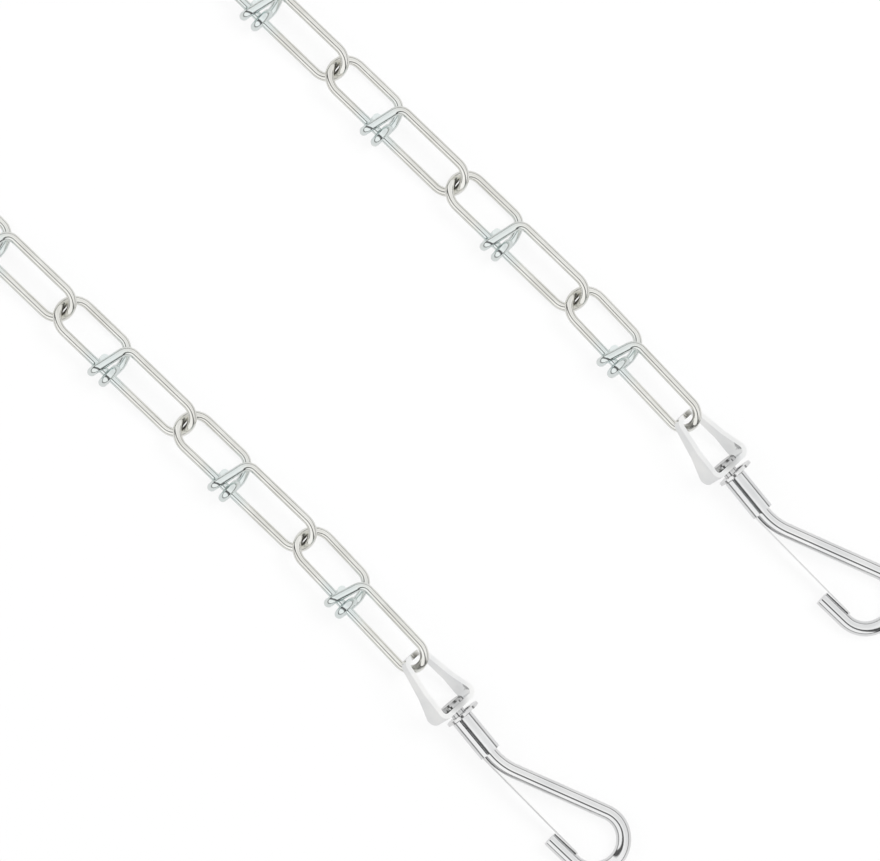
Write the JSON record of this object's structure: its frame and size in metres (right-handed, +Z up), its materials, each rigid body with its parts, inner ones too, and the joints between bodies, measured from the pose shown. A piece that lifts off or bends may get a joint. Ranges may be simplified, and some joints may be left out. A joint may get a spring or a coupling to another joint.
{
  "type": "dog tie-out chain",
  "caption": "Dog tie-out chain of knotted double-loop wire links, laid out doubled, with a swivel eye and a wire snap hook with a spring leaf gate at each end.",
  "frame": {"origin": "middle of the laid-out chain's outline, on the surface that it lies on", "axes": "+X along the two strands towards the snap hooks, +Y across from the left strand to the right one, +Z up"},
  "size_m": [0.8692, 0.1228, 0.014],
  "materials": {
    "link_wire": "bright plated wire, warm grey; plating assumed from its look",
    "eye_strip": "nickel plated strip",
    "hook_wire": "nickel plated, polished",
    "washer": "nickel plated",
    "sleeve": "nickel plated sheet",
    "leaf": "bright spring steel"
  },
  "bodies": {
    "middle_link": {"middle_link": "link_wire"},
    "turn_link_a": {"turn_link_a": "link_wire"},
    "turn_link_b": {"turn_link_b": "link_wire"},
    "link_a1": {"link_a1": "link_wire"},
    "link_a2": {"link_a2": "link_wire"},
    "link_a3": {"link_a3": "link_wire"},
    "link_a4": {"link_a4": "link_wire"},
    "link_a5": {"link_a5": "link_wire"},
    "link_a6": {"link_a6": "link_wire"},
    "link_a7": {"link_a7": "link_wire"},
    "link_a8": {"link_a8": "link_wire"},
    "link_a9": {"link_a9": "link_wire"},
    "link_a10": {"link_a10": "link_wire"},
    "link_a11": {"link_a11": "link_wire"},
    "link_a12": {"link_a12": "link_wire"},
    "link_a13": {"link_a13": "link_wire"},
    "link_a14": {"link_a14": "link_wire"},
    "link_a15": {"link_a15": "link_wire"},
    "link_a16": {"link_a16": "link_wire"},
    "link_b1": {"link_b1": "link_wire"},
    "link_b2": {"link_b2": "link_wire"},
    "link_b3": {"link_b3": "link_wire"},
    "link_b4": {"link_b4": "link_wire"},
    "link_b5": {"link_b5": "link_wire"},
    "link_b6": {"link_b6": "link_wire"},
    "link_b7": {"link_b7": "link_wire"},
    "link_b8": {"link_b8": "link_wire"},
    "link_b9": {"link_b9": "link_wire"},
    "link_b10": {"link_b10": "link_wire"},
    "link_b11": {"link_b11": "link_wire"},
    "link_b12": {"link_b12": "link_wire"},
    "link_b13": {"link_b13": "link_wire"},
    "link_b14": {"link_b14": "link_wire"},
    "link_b15": {"link_b15": "link_wire"},
    "link_b16": {"link_b16": "link_wire"},
    "swivel_eye_a": {"swivel_eye_a": "eye_strip"},
    "snap_a": {"hook_a": "hook_wire", "sleeve_a": "sleeve", "gate_root_a": "leaf"},
    "washer_a": {"washer_a": "washer"},
    "gate_a": {"gate_leaf_a": "leaf"},
    "swivel_eye_b": {"swivel_eye_b": "eye_strip"},
    "snap_b": {"hook_b": "hook_wire", "sleeve_b": "sleeve", "gate_root_b": "leaf"},
    "washer_b": {"washer_b": "washer"},
    "gate_b": {"gate_leaf_b": "leaf"}
  },
  "joints": [
    {"name": "turn_link_a_hinge", "type": "hinge", "parent": "middle_link", "child": "turn_link_a", "pos_m": [-0.42183, 0.02968, 0.00414], "axis": [-0.8576, 0.1205, 0.5], "range_deg": [-20, 45]},
    {"name": "turn_link_b_hinge", "type": "hinge", "parent": "middle_link", "child": "turn_link_b", "pos_m": [-0.42903, -0.0191, 0.00414], "axis": [-0.8576, 0.1205, -0.5], "range_deg": [-20, 45]},
    {"name": "link_a1_hinge", "type": "hinge", "parent": "turn_link_a", "child": "link_a1", "pos_m": [-0.38614, 0.05631, 0.00414], "axis": [0.545, -0.673, -0.5], "range_deg": [-45, 20]},
    {"name": "link_b1_hinge", "type": "hinge", "parent": "turn_link_b", "child": "link_b1", "pos_m": [-0.3948, -0.04812, 0.00414], "axis": [-0.5906, -0.6334, -0.5], "range_deg": [-25, 45]},
    {"name": "link_a2_hinge", "type": "hinge", "parent": "link_a1", "child": "link_a2", "pos_m": [-0.34174, 0.0548, 0.00414], "axis": [0, 0.866, 0.5], "range_deg": [-45, 45]},
    {"name": "link_a3_hinge", "type": "hinge", "parent": "link_a2", "child": "link_a3", "pos_m": [-0.29524, 0.0548, 0.00414], "axis": [0, -0.866, -0.5], "range_deg": [-45, 45]},
    {"name": "link_a4_hinge", "type": "hinge", "parent": "link_a3", "child": "link_a4", "pos_m": [-0.24874, 0.0548, 0.00414], "axis": [0, 0.866, 0.5], "range_deg": [-45, 45]},
    {"name": "link_a5_hinge", "type": "hinge", "parent": "link_a4", "child": "link_a5", "pos_m": [-0.20224, 0.0548, 0.00414], "axis": [0, -0.866, -0.5], "range_deg": [-45, 45]},
    {"name": "link_a6_hinge", "type": "hinge", "parent": "link_a5", "child": "link_a6", "pos_m": [-0.15574, 0.0548, 0.00414], "axis": [0, 0.866, 0.5], "range_deg": [-45, 45]},
    {"name": "link_a7_hinge", "type": "hinge", "parent": "link_a6", "child": "link_a7", "pos_m": [-0.10924, 0.0548, 0.00414], "axis": [0, -0.866, -0.5], "range_deg": [-45, 45]},
    {"name": "link_a8_hinge", "type": "hinge", "parent": "link_a7", "child": "link_a8", "pos_m": [-0.06274, 0.0548, 0.00414], "axis": [0, 0.866, 0.5], "range_deg": [-45, 45]},
    {"name": "link_a9_hinge", "type": "hinge", "parent": "link_a8", "child": "link_a9", "pos_m": [-0.01624, 0.0548, 0.00414], "axis": [0, -0.866, -0.5], "range_deg": [-45, 45]},
    {"name": "link_a10_hinge", "type": "hinge", "parent": "link_a9", "child": "link_a10", "pos_m": [0.03026, 0.0548, 0.00414], "axis": [0, 0.866, 0.5], "range_deg": [-45, 45]},
    {"name": "link_a11_hinge", "type": "hinge", "parent": "link_a10", "child": "link_a11", "pos_m": [0.07676, 0.0548, 0.00414], "axis": [0, -0.866, -0.5], "range_deg": [-45, 45]},
    {"name": "link_a12_hinge", "type": "hinge", "parent": "link_a11", "child": "link_a12", "pos_m": [0.12326, 0.0548, 0.00414], "axis": [0, 0.866, 0.5], "range_deg": [-45, 45]},
    {"name": "link_a13_hinge", "type": "hinge", "parent": "link_a12", "child": "link_a13", "pos_m": [0.16976, 0.0548, 0.00414], "axis": [0, -0.866, -0.5], "range_deg": [-45, 45]},
    {"name": "link_a14_hinge", "type": "hinge", "parent": "link_a13", "child": "link_a14", "pos_m": [0.21626, 0.0548, 0.00414], "axis": [0, 0.866, 0.5], "range_deg": [-45, 45]},
    {"name": "link_a15_hinge", "type": "hinge", "parent": "link_a14", "child": "link_a15", "pos_m": [0.26276, 0.0548, 0.00414], "axis": [0, -0.866, -0.5], "range_deg": [-45, 45]},
    {"name": "link_a16_hinge", "type": "hinge", "parent": "link_a15", "child": "link_a16", "pos_m": [0.30926, 0.0548, 0.00414], "axis": [0, 0.866, 0.5], "range_deg": [-45, 45]},
    {"name": "eye_a_hinge", "type": "hinge", "parent": "link_a16", "child": "swivel_eye_a", "pos_m": [0.3555, 0.05192, 0.00817], "axis": [0, 0.866, 0.5], "range_deg": [-30, 30]},
    {"name": "swivel_a", "type": "hinge", "parent": "swivel_eye_a", "child": "snap_a", "pos_m": [0.3708, 0.04977, 0.00698], "axis": [0.9898, -0.1198, -0.0767], "continuous": true},
    {"name": "washer_a_spin", "type": "hinge", "parent": "snap_a", "child": "washer_a", "pos_m": [0.37339, 0.05036, 0.00679], "axis": [0.9898, -0.1198, -0.0767], "continuous": true},
    {"name": "gate_a_hinge", "type": "hinge", "parent": "snap_a", "child": "gate_a", "pos_m": [0.39359, 0.04514, 0.0052], "axis": [0.0762, -0.0092, 0.9971], "range_deg": [0, 22], "stiffness_Nm_per_rad": 0.05, "springref_deg": -11.46},
    {"name": "link_b2_hinge", "type": "hinge", "parent": "link_b1", "child": "link_b2", "pos_m": [-0.35013, -0.04643, 0.00414], "axis": [0, 0.866, 0.5], "range_deg": [-45, 45]},
    {"name": "link_b3_hinge", "type": "hinge", "parent": "link_b2", "child": "link_b3", "pos_m": [-0.30363, -0.04643, 0.00414], "axis": [0, -0.866, -0.5], "range_deg": [-45, 45]},
    {"name": "link_b4_hinge", "type": "hinge", "parent": "link_b3", "child": "link_b4", "pos_m": [-0.25713, -0.04643, 0.00414], "axis": [0, 0.866, 0.5], "range_deg": [-45, 45]},
    {"name": "link_b5_hinge", "type": "hinge", "parent": "link_b4", "child": "link_b5", "pos_m": [-0.21063, -0.04643, 0.00414], "axis": [0, -0.866, -0.5], "range_deg": [-45, 45]},
    {"name": "link_b6_hinge", "type": "hinge", "parent": "link_b5", "child": "link_b6", "pos_m": [-0.16413, -0.04643, 0.00414], "axis": [0, 0.866, 0.5], "range_deg": [-45, 45]},
    {"name": "link_b7_hinge", "type": "hinge", "parent": "link_b6", "child": "link_b7", "pos_m": [-0.11763, -0.04643, 0.00414], "axis": [0, -0.866, -0.5], "range_deg": [-45, 45]},
    {"name": "link_b8_hinge", "type": "hinge", "parent": "link_b7", "child": "link_b8", "pos_m": [-0.07113, -0.04643, 0.00414], "axis": [0, 0.866, 0.5], "range_deg": [-45, 45]},
    {"name": "link_b9_hinge", "type": "hinge", "parent": "link_b8", "child": "link_b9", "pos_m": [-0.02463, -0.04643, 0.00414], "axis": [0, -0.866, -0.5], "range_deg": [-45, 45]},
    {"name": "link_b10_hinge", "type": "hinge", "parent": "link_b9", "child": "link_b10", "pos_m": [0.02187, -0.04643, 0.00414], "axis": [0, 0.866, 0.5], "range_deg": [-45, 45]},
    {"name": "link_b11_hinge", "type": "hinge", "parent": "link_b10", "child": "link_b11", "pos_m": [0.06837, -0.04643, 0.00414], "axis": [0, -0.866, -0.5], "range_deg": [-45, 45]},
    {"name": "link_b12_hinge", "type": "hinge", "parent": "link_b11", "child": "link_b12", "pos_m": [0.11487, -0.04643, 0.00414], "axis": [0, 0.866, 0.5], "range_deg": [-45, 45]},
    {"name": "link_b13_hinge", "type": "hinge", "parent": "link_b12", "child": "link_b13", "pos_m": [0.16137, -0.04643, 0.00414], "axis": [0, -0.866, -0.5], "range_deg": [-45, 45]},
    {"name": "link_b14_hinge", "type": "hinge", "parent": "link_b13", "child": "link_b14", "pos_m": [0.20787, -0.04643, 0.00414], "axis": [0, 0.866, 0.5], "range_deg": [-45, 45]},
    {"name": "link_b15_hinge", "type": "hinge", "parent": "link_b14", "child": "link_b15", "pos_m": [0.25437, -0.04643, 0.00414], "axis": [0, -0.866, -0.5], "range_deg": [-45, 45]},
    {"name": "link_b16_hinge", "type": "hinge", "parent": "link_b15", "child": "link_b16", "pos_m": [0.30087, -0.04643, 0.00414], "axis": [0, 0.866, 0.5], "range_deg": [-45, 45]},
    {"name": "eye_b_hinge", "type": "hinge", "parent": "link_b16", "child": "swivel_eye_b", "pos_m": [0.34711, -0.04931, 0.00817], "axis": [0, 0.866, 0.5], "range_deg": [-30, 30]},
    {"name": "swivel_b", "type": "hinge", "parent": "swivel_eye_b", "child": "snap_b", "pos_m": [0.36242, -0.05146, 0.00698], "axis": [0.9898, -0.1198, -0.0767], "continuous": true},
    {"name": "washer_b_spin", "type": "hinge", "parent": "snap_b", "child": "washer_b", "pos_m": [0.365, -0.05087, 0.00679], "axis": [0.9898, -0.1198, -0.0767], "continuous": true},
    {"name": "gate_b_hinge", "type": "hinge", "parent": "snap_b", "child": "gate_b", "pos_m": [0.38521, -0.05609, 0.0052], "axis": [0.0762, -0.0092, 0.9971], "range_deg": [0, 22], "stiffness_Nm_per_rad": 0.05, "springref_deg": -11.46}
  ]
}
